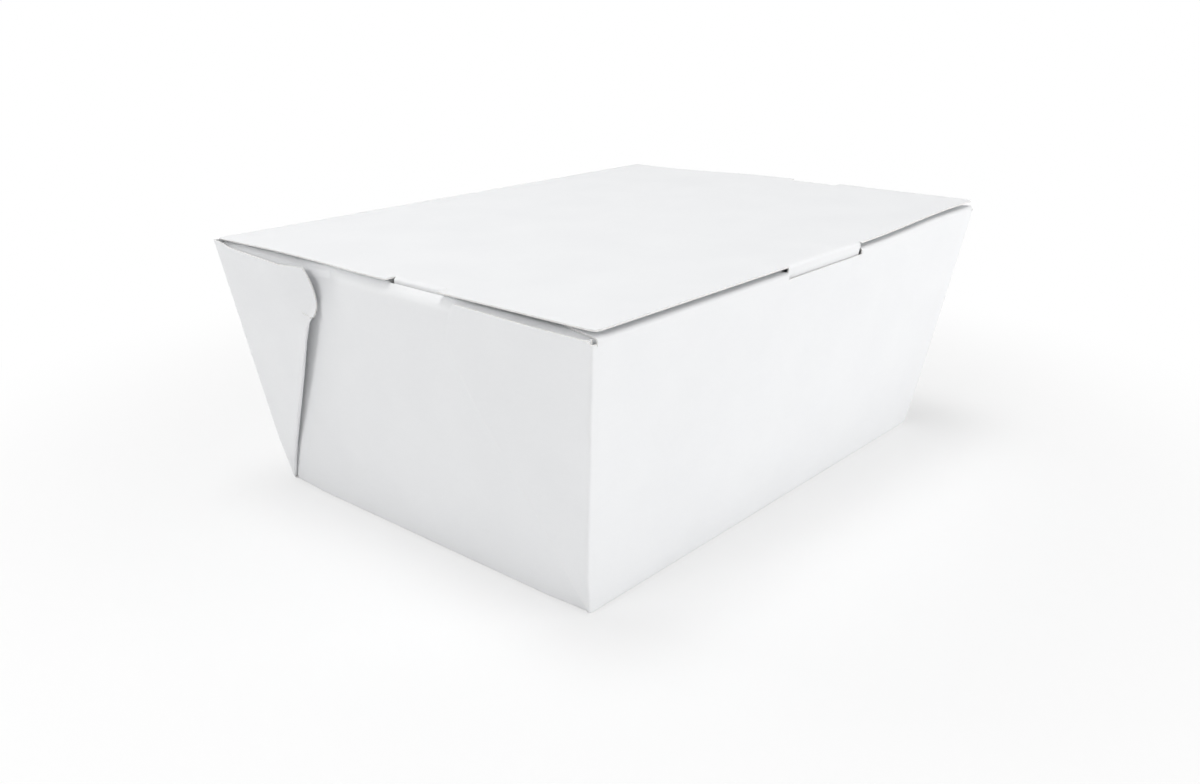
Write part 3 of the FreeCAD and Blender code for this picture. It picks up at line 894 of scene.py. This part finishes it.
def dress(piece, node, colours):
    """Gives a piece its board finish and puts it in place of a frame node."""
    piece.data.materials.clear()
    for make in (make_coated_board, make_cut_board):
        name = make.__name__.removeprefix("make_")
        piece.data.materials.append(bpy.data.materials.get(name) or make(name, colours))
    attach(piece, node)
    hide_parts(node)


class TAKEOUT_OT_lid(bpy.types.Operator):
    """Fold the lid's tabs and lay it on its crease"""
    bl_idname = "takeout.make_lid"
    bl_label = "Make the lid"

    def execute(self, context):
        sizes = context.scene.takeout_sizes
        lid = make_lid(sizes, "folded_lid")
        mark_creases(lid)
        bow_lid(lid)
        dress(lid, "lid", context.scene.takeout_colours)
        thicken(lid, sizes)
        return {"FINISHED"}


class TAKEOUT_OT_stage(bpy.types.Operator):
    """Add the pale floor, soft lamps, the world and the camera"""
    bl_idname = "takeout.make_stage"
    bl_label = "Make the stage"

    def execute(self, context):
        scene = context.scene
        scene.view_settings.view_transform = "Standard"
        deselect()
        bpy.ops.mesh.primitive_plane_add(size=6)
        floor = context.object
        floor.name = "floor"
        floor.data.materials.append(make_floor_paper(scene.takeout_colours))
        scene.world = make_room()

        for name, place, size, power in LAMPS:
            lamp = bpy.data.lights.new(name, "AREA")
            lamp.size = size
            lamp.energy = power
            holder = bpy.data.objects.new(name, lamp)
            holder.location = place
            holder.rotation_euler = (-Vector(place)).to_track_quat("-Z", "Y").to_euler()
            scene.collection.objects.link(holder)

        turn_z, rise, roll = (math.radians(angle) for angle in CAMERA_ANGLES)
        back = Vector((
            math.sin(turn_z) * math.cos(rise), -math.cos(turn_z) * math.cos(rise), math.sin(rise)))
        right = Vector((math.cos(turn_z), math.sin(turn_z), 0))
        up = back.cross(right)
        right_rolled = math.cos(roll) * right + math.sin(roll) * up
        up_rolled = math.cos(roll) * up - math.sin(roll) * right
        lens = bpy.data.cameras.new("camera")
        lens.sensor_width = 36
        lens.lens = lens.sensor_width * FOCAL_SHARE
        lens.clip_start = 0.01
        camera = bpy.data.objects.new("camera", lens)
        scene.collection.objects.link(camera)
        axes = Matrix((right_rolled, up_rolled, back)).transposed()
        camera.matrix_world = Matrix.Translation(CAMERA_PLACE) @ axes.to_4x4()
        scene.camera = camera
        return {"FINISHED"}


class TAKEOUT_PT_panel(bpy.types.Panel):
    """Food box tools"""
    bl_idname = "TAKEOUT_PT_panel"
    bl_label = "Food box"
    bl_space_type = "VIEW_3D"
    bl_region_type = "UI"
    bl_category = "Food box"

    def draw(self, context):
        for operator in (TAKEOUT_OT_tray, TAKEOUT_OT_lid, TAKEOUT_OT_stage):
            self.layout.operator(operator.bl_idname)


CLASSES = (
    BoxSizes, BoxColours, TAKEOUT_OT_tray, TAKEOUT_OT_lid, TAKEOUT_OT_stage, TAKEOUT_PT_panel)


def register():
    for item in CLASSES:
        bpy.utils.register_class(item)
    bpy.types.Scene.takeout_sizes = PointerProperty(type=BoxSizes)
    bpy.types.Scene.takeout_colours = PointerProperty(type=BoxColours)


def unregister():
    del bpy.types.Scene.takeout_sizes
    del bpy.types.Scene.takeout_colours
    for item in reversed(CLASSES):
        bpy.utils.unregister_class(item)


def main():
    register()
    bpy.ops.takeout.make_tray()
    bpy.ops.takeout.make_lid()
    bpy.ops.takeout.make_stage()


if __name__ == "__main__":
    main()
